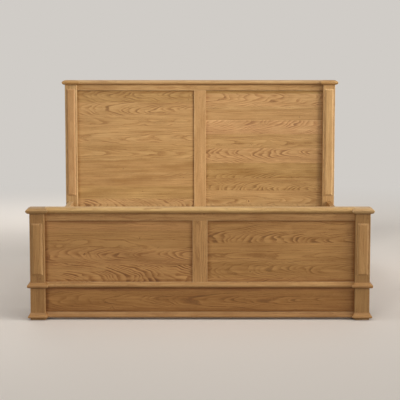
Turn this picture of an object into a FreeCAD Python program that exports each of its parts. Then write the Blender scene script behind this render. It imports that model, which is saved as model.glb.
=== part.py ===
import FreeCAD, Part
import math
import os

# A solid oak panel bed for a mattress of 1800 x 2000 mm. Millimetres, +Z up, +X to the right and
# +Y towards the headboard as seen from the foot. The origin is on the floor, at the centre of the bed.

os.makedirs("parts", exist_ok=True)

# --- Driving dimensions -------------------------------------------------------------------------

# Mattress, and the free space round it
MATTRESS_WIDTH = 1800.0
MATTRESS_LENGTH = 2000.0
MATTRESS_SIDE_GAP = 10.0
MATTRESS_END_GAP = 10.0

# Heights above the floor
HEAD_TOP = 1300.0
FOOT_TOP = 642.0
SIDE_RAIL_TOP = 432.0
WAIST_BOTTOM = 186.0
BASE_BOTTOM = 13.0

# Posts, with the raised strip on their front faces
POST_WIDTH = 85.0
POST_ARRIS = 5.0
STRIP_WIDTH = 61.0
STRIP_THICKNESS = 8.0
STRIP_EDGE = 2.0
STRIP_BEVEL = 9.5
FOOT_STRIP_TOP_MARGIN = 56.0
FOOT_STRIP_BOTTOM_MARGIN = 43.0
HEAD_STRIP_TOP_MARGIN = 30.0
HEAD_STRIP_BOTTOM_MARGIN = 42.0

# Rails, muntins and panels of the two end frames
FRAME_THICKNESS = 36.0
TOP_RAIL_HEIGHT = 42.0
HEAD_BOTTOM_RAIL_HEIGHT = 90.0
MUNTIN_WIDTH = 85.0
PANEL_THICKNESS = 20.0
GROOVE_DEPTH = 9.0
PANEL_EXPANSION_GAP = 2.0
TENON_THICKNESS = 12.0
TENON_END_WOOD = 5.0
STUB_TENON_LENGTH = 18.0

# Cap along the top of each end frame: a sloping top edge over a rounded underside
CAP_OVERHANG = 20.0
CAP_SLOPE_HEIGHT = 13.0
CAP_SLOPE_BULGE = 2.0
CAP_ROUND_HEIGHT = 18.0
CAP_ROUND_WIDTH = 14.0

# Waist moulding: a cove over a half round
WAIST_OVERHANG = 17.0
WAIST_COVE_HEIGHT = 9.0
WAIST_COVE_WIDTH = 10.0
WAIST_COVE_SAG = 2.6
WAIST_ROUND_HEIGHT = 22.0
WAIST_UNDERCUT = 11.0

# Base moulding: a cove over a rounded nose
BASE_OVERHANG = 14.0
BASE_COVE_HEIGHT = 17.0
BASE_COVE_WIDTH = 10.0
BASE_COVE_SAG = 2.4
BASE_NOSE_HEIGHT = 14.0
BASE_UNDERCUT = 5.0

# Thin square edge left at the top of both coves
COVE_EDGE = 1.0

# Side rails and the cleats on their inner faces
SIDE_RAIL_THICKNESS = 33.0
SIDE_RAIL_HEIGHT = 190.0
SIDE_RAIL_SET_IN = 21.0
CLEAT_THICKNESS = 20.0
CLEAT_HEIGHT = 35.0
CLEAT_END_MARGIN = 70.0
CLEAT_SCREW_DROP = 22.0

# Slats
SLAT_COUNT = 12
SLAT_WIDTH = 95.0
SLAT_THICKNESS = 18.0
SLAT_DROP = 57.0
SLAT_END_GAP = 3.0
SLAT_FIRST_MARGIN = 75.0
SLAT_ROUND = 3.0

# Centre beam, its two hangers and its legs
BEAM_WIDTH = 45.0
BEAM_HEIGHT = 70.0
LEG_WIDTH = 60.0
LEG_SPACING = 700.0
HANGER_PLATE = 3.0
HANGER_REACH = 40.0
HANGER_TOP_MARGIN = 4.0
HANGER_SCREW_MARGIN = 14.0

# Fasteners and glides
STUD_DIAMETER = 8.0
STUD_LENGTH = 86.0
STUD_EDGE_MARGIN = 55.0
INSERT_DIAMETER = 12.0
INSERT_LENGTH = 40.0
NUT_ACROSS_FLATS = 13.0
NUT_THICKNESS = 6.5
STUD_PROUD = 3.0
WASHER_DEPTH = 8.0
POCKET_RADIUS = 18.0
DOWEL_DIAMETER = 10.0
DOWEL_LENGTH = 60.0
DOWEL_EDGE_MARGIN = 20.0
SCREW_DIAMETER = 4.5
SCREW_LENGTH = 35.0
SCREW_HEAD_DIAMETER = 9.0
SCREW_HEAD_HEIGHT = 2.8
SCREW_POINT_LENGTH = 5.0
SCREW_CORE_SHARE = 0.72
RECESS_WIDTH = 1.1
RECESS_LENGTH = 5.0
RECESS_DEPTH = 1.6
GLIDE_DIAMETER = 40.0
GLIDE_HEIGHT = 3.0
GLIDE_BEVEL = 1.0
GLIDE_PIN_DIAMETER = 4.0
GLIDE_PIN_LENGTH = 15.0

# Clearances and softened edges
JOINT_CLEARANCE = 0.15
GROOVE_CLEARANCE = 0.2
HOLE_CLEARANCE = 0.1
HOLE_END_CLEARANCE = 1.0
WASHER_CLEARANCE = 0.2
HANGER_CLEARANCE = 0.3
ARRIS = 1.5

# --- Places worked out from the driving dimensions ----------------------------------------------

RAIL_INNER_X = MATTRESS_WIDTH / 2 + MATTRESS_SIDE_GAP
RAIL_CENTRE_X = RAIL_INNER_X + SIDE_RAIL_THICKNESS / 2
RAIL_OUTER_X = RAIL_INNER_X + SIDE_RAIL_THICKNESS
POST_OUTER_X = RAIL_OUTER_X + SIDE_RAIL_SET_IN
POST_INNER_X = POST_OUTER_X - POST_WIDTH
POST_CENTRE_X = POST_OUTER_X - POST_WIDTH / 2
POST_INNER_Y = MATTRESS_LENGTH / 2 + MATTRESS_END_GAP
FOOT_FRONT_Y = -POST_INNER_Y - POST_WIDTH
HEAD_FRONT_Y = POST_INNER_Y

CAP_THICKNESS = CAP_SLOPE_HEIGHT + CAP_ROUND_HEIGHT
CAP_ROUND_RADIUS = (CAP_ROUND_HEIGHT ** 2 + CAP_ROUND_WIDTH ** 2) / (2 * CAP_ROUND_WIDTH)
WAIST_HEIGHT = WAIST_COVE_HEIGHT + WAIST_ROUND_HEIGHT
WAIST_TOP = WAIST_BOTTOM + WAIST_HEIGHT
BASE_HEIGHT = BASE_COVE_HEIGHT + BASE_NOSE_HEIGHT
BASE_TOP = BASE_BOTTOM + BASE_HEIGHT
FRAME_SET_BACK = (POST_WIDTH - FRAME_THICKNESS) / 2
PANEL_SET_BACK = (FRAME_THICKNESS - PANEL_THICKNESS) / 2

SIDE_RAIL_BOTTOM = SIDE_RAIL_TOP - SIDE_RAIL_HEIGHT
SLAT_TOP = SIDE_RAIL_TOP - SLAT_DROP
SLAT_BOTTOM = SLAT_TOP - SLAT_THICKNESS
CLEAT_INNER_X = RAIL_INNER_X - CLEAT_THICKNESS
CLEAT_HALF_LENGTH = POST_INNER_Y - CLEAT_END_MARGIN
BEAM_BOTTOM = SLAT_BOTTOM - BEAM_HEIGHT

STUD_REACH = STUD_LENGTH - INSERT_LENGTH
NUT_OUTER_FACE = STUD_REACH - STUD_PROUD
NUT_INNER_FACE = NUT_OUTER_FACE - NUT_THICKNESS
POCKET_DISTANCE = NUT_INNER_FACE - WASHER_DEPTH + POCKET_RADIUS
NUT_CORNER_RADIUS = NUT_ACROSS_FLATS / math.sqrt(3)
POCKET_BOTTOM_X = RAIL_CENTRE_X + NUT_CORNER_RADIUS + WASHER_CLEARANCE
STUD_HEIGHTS = [SIDE_RAIL_BOTTOM + STUD_EDGE_MARGIN, SIDE_RAIL_TOP - STUD_EDGE_MARGIN]
DOWEL_HEIGHTS = [SIDE_RAIL_BOTTOM + DOWEL_EDGE_MARGIN, SIDE_RAIL_TOP - DOWEL_EDGE_MARGIN]
TENON_END_X = RAIL_CENTRE_X - INSERT_DIAMETER / 2 - TENON_END_WOOD

ORIGIN = FreeCAD.Vector(0, 0, 0)
X_AXIS = FreeCAD.Vector(1, 0, 0)
Y_AXIS = FreeCAD.Vector(0, 1, 0)
Z_AXIS = FreeCAD.Vector(0, 0, 1)
PARALLEL = 1e-6


# --- Shape helpers ------------------------------------------------------------------------------

def block(x_range, y_range, z_range):
    """A plain box between two values along each axis."""
    size = [high - low for low, high in (x_range, y_range, z_range)]
    corner = FreeCAD.Vector(x_range[0], y_range[0], z_range[0])
    return Part.makeBox(size[0], size[1], size[2], corner)


def grown(span, low, high):
    """A pair of values moved apart by two clearances."""
    return (span[0] - low, span[1] + high)


def softened(solid, direction, radius=ARRIS):
    """The block with its four edges along one direction rounded."""
    edges = [edge for edge in solid.Edges if edge.tangentAt(0).cross(direction).Length < PARALLEL]
    return solid.makeFillet(radius, edges)


def joined(pieces):
    return pieces[0].fuse(pieces[1:]).removeSplitter()


def mirrored(shape):
    return shape.mirror(ORIGIN, X_AXIS)


def both_sides(pieces):
    """Pieces on the right, and the same pieces on the left."""
    return pieces + [mirrored(piece) for piece in pieces]


def outline_face(place, start, steps):
    """A flat face from lines, each step one point, and arcs, each step a point passed and an end."""
    edges = []
    here = start
    for step in steps:
        if len(step) == 1:
            edges.append(Part.makeLine(place(*here), place(*step[0])))
        else:
            edges.append(Part.Arc(place(*here), place(*step[0]), place(*step[1])).toShape())
        here = step[-1]
    return Part.Face(Part.Wire(edges))


def beside_chord(start, end, rise):
    """The point that lies a given distance to the left of a chord's middle."""
    run = (end[0] - start[0], end[1] - start[1])
    length = math.hypot(run[0], run[1])
    middle = ((start[0] + end[0]) / 2, (start[1] + end[1]) / 2)
    return (middle[0] - run[1] / length * rise, middle[1] + run[0] / length * rise)


def rod(start, direction, radius, length):
    return Part.makeCylinder(radius, length, start, direction)


# --- Mouldings ----------------------------------------------------------------------------------

def cap_section(place, near, far):
    """Section of a cap that overhangs both faces of what it sits on, from z 0 at its underside.

    The rounded underside is an arc that leaves the nose straight down.
    """
    nose_height = CAP_ROUND_HEIGHT
    foot = CAP_OVERHANG - CAP_ROUND_WIDTH
    half_turn = math.atan2(CAP_ROUND_HEIGHT, CAP_ROUND_RADIUS - CAP_ROUND_WIDTH) / 2
    round_out = CAP_OVERHANG - CAP_ROUND_RADIUS * (1 - math.cos(half_turn))
    round_height = nose_height - CAP_ROUND_RADIUS * math.sin(half_turn)
    slope = beside_chord((CAP_OVERHANG, nose_height), (0, CAP_THICKNESS), -CAP_SLOPE_BULGE)
    steps = [
        [(far + foot, 0)],
        [(far + round_out, round_height), (far + CAP_OVERHANG, nose_height)],
        [(far + slope[0], slope[1]), (far, CAP_THICKNESS)],
        [(near, CAP_THICKNESS)],
        [(near - slope[0], slope[1]), (near - CAP_OVERHANG, nose_height)],
        [(near - round_out, round_height), (near - foot, 0)],
    ]
    return outline_face(place, (near - foot, 0), steps)


def cap_length(x_range, y_range, bottom):
    """A cap along X, moulded on its front and back edges and square at its ends."""
    section = cap_section(lambda y, z: FreeCAD.Vector(x_range[0], y, bottom + z), *y_range)
    return section.extrude(X_AXIS * (x_range[1] - x_range[0]))


def cap_block(x_range, y_range, bottom):
    """A cap moulded on all four edges, with mitred corners."""
    lengthwise = cap_length(grown(x_range, CAP_OVERHANG, CAP_OVERHANG), y_range, bottom)
    start_y = y_range[0] - CAP_OVERHANG
    section = cap_section(lambda x, z: FreeCAD.Vector(x, start_y, bottom + z), *x_range)
    crosswise = section.extrude(Y_AXIS * (y_range[1] - y_range[0] + 2 * CAP_OVERHANG))
    return lengthwise.common(crosswise)


def waist_section(place):
    """Section of the waist moulding, from its back lower corner, with the face it is glued to at 0."""
    nose = (WAIST_OVERHANG, WAIST_ROUND_HEIGHT / 2)
    cove_foot = (WAIST_COVE_WIDTH, WAIST_ROUND_HEIGHT)
    cove_top = (COVE_EDGE, WAIST_HEIGHT)
    steps = [
        [(WAIST_OVERHANG - WAIST_UNDERCUT, 0)],
        [nose, cove_foot],
        [beside_chord(cove_foot, cove_top, WAIST_COVE_SAG), cove_top],
        [(0, WAIST_HEIGHT)],
        [(0, 0)],
    ]
    return outline_face(place, (0, 0), steps)


def base_section(place):
    """Section of the base moulding, from its back lower corner, with the face it is glued to at 0."""
    nose = (BASE_OVERHANG, BASE_NOSE_HEIGHT / 2)
    cove_foot = (BASE_COVE_WIDTH, BASE_NOSE_HEIGHT)
    cove_top = (COVE_EDGE, BASE_HEIGHT)
    steps = [
        [(BASE_OVERHANG - BASE_UNDERCUT, 0)],
        [nose, cove_foot],
        [beside_chord(cove_foot, cove_top, BASE_COVE_SAG), cove_top],
        [(0, BASE_HEIGHT)],
        [(0, 0)],
    ]
    return outline_face(place, (0, 0), steps)


def rail_moulding(section, face_y, bottom):
    """A length of moulding on the front face of a foot rail, from post to post."""
    profile = section(lambda out, z: FreeCAD.Vector(-POST_INNER_X, face_y - out, bottom + z))
    return profile.extrude(X_AXIS * 2 * POST_INNER_X)


def post_ring(section, overhang, centre, bottom):
    """Four mitred lengths of moulding round a post: front, outer, back and inner."""
    half = POST_WIDTH / 2
    reach = half + overhang
    profile = section(lambda out, z: FreeCAD.Vector(-reach, -half - out, z))
    length = profile.extrude(X_AXIS * 2 * reach)
    corners = [(-half, -half), (half, -half), (reach, -reach), (-reach, -reach), (-half, -half)]
    mitres = Part.Face(Part.makePolygon([FreeCAD.Vector(x, y, 0) for x, y in corners]))
    length = length.common(mitres.extrude(Z_AXIS * profile.BoundBox.ZMax))
    lengths = []
    for quarter in range(4):
        turned = length.copy()
        turned.rotate(ORIGIN, Z_AXIS, 90 * quarter)
        turned.translate(FreeCAD.Vector(centre[0], centre[1], bottom))
        lengths.append(turned)
    return lengths


def post_mouldings(front_y, stops):
    """The waist and base mouldings of the right post, cut to fit round any rails that they meet."""
    centre = (POST_CENTRE_X, front_y + POST_WIDTH / 2)
    lengths = post_ring(waist_section, WAIST_OVERHANG, centre, WAIST_BOTTOM)
    lengths += post_ring(base_section, BASE_OVERHANG, centre, BASE_BOTTOM)
    pieces = []
    for length in lengths:
        pieces += length.cut(stops + [side_rail_bar()]).Solids
    return Part.makeCompound(pieces)


# --- Fasteners, each along +Z from the origin before it is placed --------------------------------

def turned_profile(points):
    """A solid turned about the Z axis from points given as radius and height."""
    profile = Part.makePolygon([FreeCAD.Vector(radius, 0, z) for radius, z in points])
    return Part.Face(profile).revolve(ORIGIN, Z_AXIS, 360)


def turned_to(shape, direction, place):
    """The shape with its own +Z turned to a direction and its origin moved to a place."""
    moved = shape.copy()
    moved.Placement = FreeCAD.Placement(place, FreeCAD.Rotation(Z_AXIS, direction))
    return moved


def screw_body(clearance):
    """A countersunk screw pointing up +Z with its head's face at the origin, grown by a clearance."""
    shank = SCREW_DIAMETER / 2 * SCREW_CORE_SHARE + clearance
    head = SCREW_HEAD_DIAMETER / 2 + clearance
    shoulder = SCREW_LENGTH - SCREW_POINT_LENGTH
    points = [(0, 0), (head, 0), (shank, SCREW_HEAD_HEIGHT), (shank, shoulder), (0, SCREW_LENGTH), (0, 0)]
    return turned_profile(points)


def wood_screw():
    """One screw with a cross recess in its head."""
    slots = []
    for long_x, long_y in ((RECESS_LENGTH, RECESS_WIDTH), (RECESS_WIDTH, RECESS_LENGTH)):
        slots.append(block((-long_x / 2, long_x / 2), (-long_y / 2, long_y / 2), (0, RECESS_DEPTH)))
    return screw_body(0).cut(joined(slots))


def nut():
    turns = [math.radians(60 * corner) for corner in range(7)]
    points = [FreeCAD.Vector(math.cos(turn), math.sin(turn), 0) * NUT_CORNER_RADIUS for turn in turns]
    prism = Part.Face(Part.makePolygon(points)).extrude(Z_AXIS * NUT_THICKNESS)
    return prism.cut(rod(ORIGIN, Z_AXIS, STUD_DIAMETER / 2 + HOLE_CLEARANCE, NUT_THICKNESS))


def insert():
    outside = rod(ORIGIN, Z_AXIS, INSERT_DIAMETER / 2, INSERT_LENGTH)
    return outside.cut(rod(ORIGIN, Z_AXIS, STUD_DIAMETER / 2 + HOLE_CLEARANCE, INSERT_LENGTH))


def half_moon_washer():
    """A segment of a disc on a stud, its flat face at z 0 and its curved face towards -Z."""
    disc_start = FreeCAD.Vector(-NUT_CORNER_RADIUS, 0, POCKET_RADIUS - WASHER_DEPTH)
    disc = rod(disc_start, X_AXIS, POCKET_RADIUS - WASHER_CLEARANCE, 2 * NUT_CORNER_RADIUS)
    reach = (-POCKET_RADIUS, POCKET_RADIUS)
    segment = disc.common(block(reach, reach, (-POCKET_RADIUS, 0)))
    hole_start = FreeCAD.Vector(0, 0, -POCKET_RADIUS)
    return segment.cut(rod(hole_start, Z_AXIS, STUD_DIAMETER / 2 + HOLE_CLEARANCE, POCKET_RADIUS))


def glide():
    """A disc with a pin above it, pressed into the end of a post or a leg."""
    rim = GLIDE_DIAMETER / 2
    pin = GLIDE_PIN_DIAMETER / 2
    top = GLIDE_HEIGHT + GLIDE_PIN_LENGTH
    points = [(0, 0), (rim - GLIDE_BEVEL, 0), (rim, GLIDE_BEVEL), (rim, GLIDE_HEIGHT), (pin, GLIDE_HEIGHT),
              (pin, top), (0, top), (0, 0)]
    return turned_profile(points)


def glide_hole(place):
    radius = GLIDE_PIN_DIAMETER / 2 + HOLE_CLEARANCE
    return rod(place + Z_AXIS * GLIDE_HEIGHT, Z_AXIS, radius, GLIDE_PIN_LENGTH + HOLE_END_CLEARANCE)


# --- Where the side rail joints and the screws are -----------------------------------------------

def rail_joints():
    """The right side rail's two ends: the post's face, and the direction from the post into the rail."""
    return [(-POST_INNER_Y, Y_AXIS), (POST_INNER_Y, Y_AXIS * -1)]


def side_rail_bar():
    """The right side rail as a plain bar between its posts."""
    x_range = (RAIL_INNER_X, RAIL_OUTER_X)
    return block(x_range, (-POST_INNER_Y, POST_INNER_Y), (SIDE_RAIL_BOTTOM, SIDE_RAIL_TOP))


def joint_points(face_y, heights):
    return [FreeCAD.Vector(RAIL_CENTRE_X, face_y, z) for z in heights]


def joint_holes(face_y, inward):
    """What the side rail's joint takes out of the post and of the rail, as one list of solids."""
    holes = []
    stud_radius = STUD_DIAMETER / 2 + HOLE_CLEARANCE
    for point in joint_points(face_y, STUD_HEIGHTS):
        insert_radius = INSERT_DIAMETER / 2 + HOLE_CLEARANCE
        holes.append(rod(point, inward * -1, insert_radius, INSERT_LENGTH + HOLE_END_CLEARANCE))
        holes.append(rod(point, inward, stud_radius, POCKET_DISTANCE))
        pocket_start = FreeCAD.Vector(RAIL_INNER_X, 0, point.z) + inward * POCKET_DISTANCE
        pocket_start.y += face_y
        holes.append(rod(pocket_start, X_AXIS, POCKET_RADIUS, POCKET_BOTTOM_X - RAIL_INNER_X))
    dowel_radius = DOWEL_DIAMETER / 2 + HOLE_CLEARANCE
    dowel_depth = DOWEL_LENGTH / 2 + HOLE_END_CLEARANCE
    for point in joint_points(face_y, DOWEL_HEIGHTS):
        holes.append(rod(point - inward * dowel_depth, inward, dowel_radius, 2 * dowel_depth))
    return holes


def slat_centres():
    first = -POST_INNER_Y + SLAT_FIRST_MARGIN + SLAT_WIDTH / 2
    pitch = -2 * first / (SLAT_COUNT - 1)
    return [first + pitch * number for number in range(SLAT_COUNT)]


def slat_screws(y):
    """Three screws down through one slat: into each cleat and into the centre beam."""
    cleat_x = RAIL_INNER_X - CLEAT_THICKNESS / 2
    return [(FreeCAD.Vector(x, y, SLAT_TOP), Z_AXIS * -1) for x in (-cleat_x, 0, cleat_x)]


def cleat_screws():
    """Screws through the right cleat into the side rail, in every other gap between the slats."""
    centres = slat_centres()
    gaps = [(near + far) / 2 for near, far in zip(centres, centres[1:])]
    height = SLAT_BOTTOM - CLEAT_SCREW_DROP
    return [(FreeCAD.Vector(CLEAT_INNER_X, y, height), X_AXIS) for y in gaps[::2]]


def hanger_faces():
    """The foot frame's back face and the head frame's front face, each with its outward direction."""
    return [(FOOT_FRONT_Y + FRAME_SET_BACK + FRAME_THICKNESS, Y_AXIS),
            (HEAD_FRONT_Y + FRAME_SET_BACK, Y_AXIS * -1)]


def hanger_screws(face_y, outward):
    """Four screws through one hanger's back plate into the end frame, behind the end of the beam."""
    x = BEAM_WIDTH / 2 - HANGER_SCREW_MARGIN
    heights = (BEAM_BOTTOM + HANGER_SCREW_MARGIN, SLAT_BOTTOM - HANGER_SCREW_MARGIN)
    head_y = face_y + outward.y * HANGER_PLATE
    return [(FreeCAD.Vector(side, head_y, z), outward * -1) for side in (-x, x) for z in heights]


def screw_holes(screws):
    body = screw_body(HOLE_CLEARANCE)
    return [turned_to(body, direction, place) for place, direction in screws]


# --- End frames ---------------------------------------------------------------------------------

def tenon_height(z_range):
    """A rail's tenon stops short of the grooves in its edges."""
    return grown(z_range, -GROOVE_DEPTH, -GROOVE_DEPTH)


def frame_depth(front_y):
    return (front_y + FRAME_SET_BACK, front_y + FRAME_SET_BACK + FRAME_THICKNESS)


def tenon_depth(front_y):
    middle = front_y + POST_WIDTH / 2
    return (middle - TENON_THICKNESS / 2, middle + TENON_THICKNESS / 2)


def frame_rail(front_y, z_range):
    """A rail from post to post, with a tenon at each end that stops short of the studs."""
    body = softened(block((-POST_INNER_X, POST_INNER_X), frame_depth(front_y), z_range), X_AXIS)
    tongue = block((-TENON_END_X, TENON_END_X), tenon_depth(front_y), tenon_height(z_range))
    return joined([body, tongue])


def rail_mortise(front_y, z_range):
    """The hole in the right post for a rail's tenon."""
    x_range = (POST_INNER_X, TENON_END_X + HOLE_END_CLEARANCE)
    depth = grown(tenon_depth(front_y), JOINT_CLEARANCE, JOINT_CLEARANCE)
    return block(x_range, depth, grown(tenon_height(z_range), JOINT_CLEARANCE, JOINT_CLEARANCE))


def muntin(front_y, z_range):
    """The upright between the two panels, with a stub tenon at each end."""
    half = MUNTIN_WIDTH / 2
    body = softened(block((-half, half), frame_depth(front_y), z_range), Z_AXIS)
    tongue_half = half - GROOVE_DEPTH
    tongue_height = grown(z_range, STUB_TENON_LENGTH, STUB_TENON_LENGTH)
    return joined([body, block((-tongue_half, tongue_half), tenon_depth(front_y), tongue_height)])


def muntin_mortises(front_y, z_range):
    """The holes in the rails for a muntin's tenons, as one block that crosses only the rails."""
    half = MUNTIN_WIDTH / 2 - GROOVE_DEPTH + JOINT_CLEARANCE
    depth = grown(tenon_depth(front_y), JOINT_CLEARANCE, JOINT_CLEARANCE)
    end = STUB_TENON_LENGTH + HOLE_END_CLEARANCE
    return block((-half, half), depth, grown(z_range, end, end))


def panel_depth(front_y):
    near = front_y + FRAME_SET_BACK + PANEL_SET_BACK
    return (near, near + PANEL_THICKNESS)


def panel(front_y, x_range, z_range):
    """A panel that stands on its lower groove and floats in the others."""
    tongue = GROOVE_DEPTH - PANEL_EXPANSION_GAP
    height = grown(z_range, GROOVE_DEPTH, tongue)
    return block(grown(x_range, tongue, tongue), panel_depth(front_y), height)


def panel_groove(front_y, x_range, z_range):
    """The space that the grooves round one opening leave for its panel."""
    depth = grown(panel_depth(front_y), GROOVE_CLEARANCE, GROOVE_CLEARANCE)
    opening_x = grown(x_range, GROOVE_DEPTH, GROOVE_DEPTH)
    return block(opening_x, depth, grown(z_range, GROOVE_DEPTH, GROOVE_DEPTH))


def post(front_y, top, cuts):
    """The right post, with everything that enters it cut away."""
    x_range = (POST_INNER_X, POST_OUTER_X)
    bar = block(x_range, (front_y, front_y + POST_WIDTH), (GLIDE_HEIGHT, top))
    pin = glide_hole(FreeCAD.Vector(POST_CENTRE_X, front_y + POST_WIDTH / 2, 0))
    return softened(bar, Z_AXIS, POST_ARRIS).cut(cuts + [pin])


def post_strip(front_y, z_range):
    """The raised strip on the front of the right post, bevelled on all four sides."""
    half = STRIP_WIDTH / 2
    shoulder = front_y - STRIP_EDGE
    face = front_y - STRIP_THICKNESS
    low, high = z_range
    left, right = POST_CENTRE_X - half, POST_CENTRE_X + half
    across = [(left, front_y), (right, front_y), (right, shoulder), (right - STRIP_BEVEL, face),
              (left + STRIP_BEVEL, face), (left, shoulder), (left, front_y)]
    upright = [(low, front_y), (high, front_y), (high, shoulder), (high - STRIP_BEVEL, face),
               (low + STRIP_BEVEL, face), (low, shoulder), (low, front_y)]
    wide = Part.Face(Part.makePolygon([FreeCAD.Vector(x, y, low) for x, y in across]))
    tall = Part.Face(Part.makePolygon([FreeCAD.Vector(left, y, z) for z, y in upright]))
    return wide.extrude(Z_AXIS * (high - low)).common(tall.extrude(X_AXIS * STRIP_WIDTH))


def end_caps(front_y, bottom):
    """The cap along an end frame's rail, and the cap on its right post, scribed to the first."""
    back_y = front_y + POST_WIDTH
    rail_cap = cap_length((-POST_INNER_X, POST_INNER_X), (front_y + FRAME_SET_BACK, back_y), bottom)
    post_cap = cap_block((POST_INNER_X, POST_OUTER_X), (front_y, back_y), bottom)
    return rail_cap, post_cap.cut(rail_cap)


def hand_pair(nodes, name, shape):
    """Keeps a right-hand piece and its mirror image on the left."""
    nodes[name + "_right"] = shape
    nodes[name + "_left"] = mirrored(shape)


def headboard():
    nodes = {}
    post_top = HEAD_TOP - CAP_THICKNESS
    top_rail_z = (post_top - TOP_RAIL_HEIGHT, post_top)
    bottom_rail_z = (SIDE_RAIL_BOTTOM, SIDE_RAIL_BOTTOM + HEAD_BOTTOM_RAIL_HEIGHT)
    opening_z = (bottom_rail_z[1], top_rail_z[0])
    opening_x = (MUNTIN_WIDTH / 2, POST_INNER_X)
    groove = panel_groove(HEAD_FRONT_Y, opening_x, opening_z)
    grooves = both_sides([groove])
    mortises = [rail_mortise(HEAD_FRONT_Y, z) for z in (top_rail_z, bottom_rail_z)]
    rail_cuts = grooves + [muntin_mortises(HEAD_FRONT_Y, opening_z)]
    hanger_holes = screw_holes(hanger_screws(*hanger_faces()[1]))

    nodes["head_cap_rail"], post_cap = end_caps(HEAD_FRONT_Y, post_top)
    hand_pair(nodes, "head_post_cap", post_cap)
    cuts = mortises + [groove] + joint_holes(*rail_joints()[1])
    hand_pair(nodes, "head_post", post(HEAD_FRONT_Y, post_top, cuts))
    strip_z = (SIDE_RAIL_TOP + HEAD_STRIP_BOTTOM_MARGIN, post_top - HEAD_STRIP_TOP_MARGIN)
    hand_pair(nodes, "head_post_strip", post_strip(HEAD_FRONT_Y, strip_z))
    hand_pair(nodes, "head_post_mouldings", post_mouldings(HEAD_FRONT_Y, []))
    nodes["head_top_rail"] = frame_rail(HEAD_FRONT_Y, top_rail_z).cut(rail_cuts)
    nodes["head_bottom_rail"] = frame_rail(HEAD_FRONT_Y, bottom_rail_z).cut(rail_cuts + hanger_holes)
    nodes["head_muntin"] = muntin(HEAD_FRONT_Y, opening_z).cut(grooves + hanger_holes)
    hand_pair(nodes, "head_panel", panel(HEAD_FRONT_Y, opening_x, opening_z))
    return nodes


def footboard():
    nodes = {}
    post_top = FOOT_TOP - CAP_THICKNESS
    top_rail_z = (post_top - TOP_RAIL_HEIGHT, post_top)
    waist_z = (WAIST_BOTTOM, WAIST_TOP)
    base_z = (BASE_BOTTOM, BASE_TOP)
    opening_x = (MUNTIN_WIDTH / 2, POST_INNER_X)
    apron_x = (-POST_INNER_X, POST_INNER_X)
    opening_z = (WAIST_TOP, top_rail_z[0])
    apron_z = (BASE_TOP, WAIST_BOTTOM)
    grooves = both_sides([panel_groove(FOOT_FRONT_Y, opening_x, opening_z)])
    grooves.append(panel_groove(FOOT_FRONT_Y, apron_x, apron_z))
    mortises = [rail_mortise(FOOT_FRONT_Y, z) for z in (top_rail_z, waist_z, base_z)]
    rail_cuts = grooves + [muntin_mortises(FOOT_FRONT_Y, opening_z)]
    face_y = FOOT_FRONT_Y + FRAME_SET_BACK
    hanger_holes = screw_holes(hanger_screws(*hanger_faces()[0]))

    nodes["foot_cap_rail"], post_cap = end_caps(FOOT_FRONT_Y, post_top)
    hand_pair(nodes, "foot_post_cap", post_cap)
    cuts = mortises + grooves + joint_holes(*rail_joints()[0])
    hand_pair(nodes, "foot_post", post(FOOT_FRONT_Y, post_top, cuts))
    strip_z = (WAIST_TOP + FOOT_STRIP_BOTTOM_MARGIN, post_top - FOOT_STRIP_TOP_MARGIN)
    hand_pair(nodes, "foot_post_strip", post_strip(FOOT_FRONT_Y, strip_z))
    nodes["foot_top_rail"] = frame_rail(FOOT_FRONT_Y, top_rail_z).cut(rail_cuts)
    nodes["foot_waist_rail"] = frame_rail(FOOT_FRONT_Y, waist_z).cut(rail_cuts)
    nodes["foot_base_rail"] = frame_rail(FOOT_FRONT_Y, base_z).cut(grooves)
    nodes["foot_waist_moulding"] = rail_moulding(waist_section, face_y, WAIST_BOTTOM)
    nodes["foot_base_moulding"] = rail_moulding(base_section, face_y, BASE_BOTTOM)
    stops = [block(apron_x, frame_depth(FOOT_FRONT_Y), z) for z in (waist_z, base_z)]
    stops += [nodes["foot_waist_moulding"], nodes["foot_base_moulding"]]
    hand_pair(nodes, "foot_post_mouldings", post_mouldings(FOOT_FRONT_Y, stops))
    nodes["foot_muntin"] = muntin(FOOT_FRONT_Y, opening_z).cut(grooves + hanger_holes)
    hand_pair(nodes, "foot_panel", panel(FOOT_FRONT_Y, opening_x, opening_z))
    nodes["foot_apron"] = panel(FOOT_FRONT_Y, apron_x, apron_z)
    return nodes


# --- Sides and mattress support -----------------------------------------------------------------

def side_rail():
    """The right side rail, with the joints at its ends and the cleat's screws cut away."""
    holes = screw_holes(cleat_screws())
    for face_y, inward in rail_joints():
        holes += joint_holes(face_y, inward)
    return softened(side_rail_bar(), Y_AXIS).cut(holes)


def slat_cleat():
    x_range = (CLEAT_INNER_X, RAIL_INNER_X)
    y_range = (-CLEAT_HALF_LENGTH, CLEAT_HALF_LENGTH)
    body = block(x_range, y_range, (SLAT_BOTTOM - CLEAT_HEIGHT, SLAT_BOTTOM))
    holes = screw_holes(cleat_screws())
    for y in slat_centres():
        holes += screw_holes(slat_screws(y))
    return body.cut(holes)


def slat(y):
    half_length = RAIL_INNER_X - SLAT_END_GAP
    y_range = (y - SLAT_WIDTH / 2, y + SLAT_WIDTH / 2)
    board = block((-half_length, half_length), y_range, (SLAT_BOTTOM, SLAT_TOP))
    return softened(board, X_AXIS, SLAT_ROUND).cut(screw_holes(slat_screws(y)))


def leg_rows():
    return (-LEG_SPACING / 2, LEG_SPACING / 2)


def leg_stud_start(y):
    """Lower end of the stud between a leg and the beam."""
    return FreeCAD.Vector(0, y, BEAM_BOTTOM - INSERT_LENGTH)


def leg_stud_hole(y):
    start = leg_stud_start(y) - Z_AXIS * HOLE_END_CLEARANCE
    return rod(start, Z_AXIS, STUD_DIAMETER / 2 + HOLE_CLEARANCE, STUD_LENGTH + 2 * HOLE_END_CLEARANCE)


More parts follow.
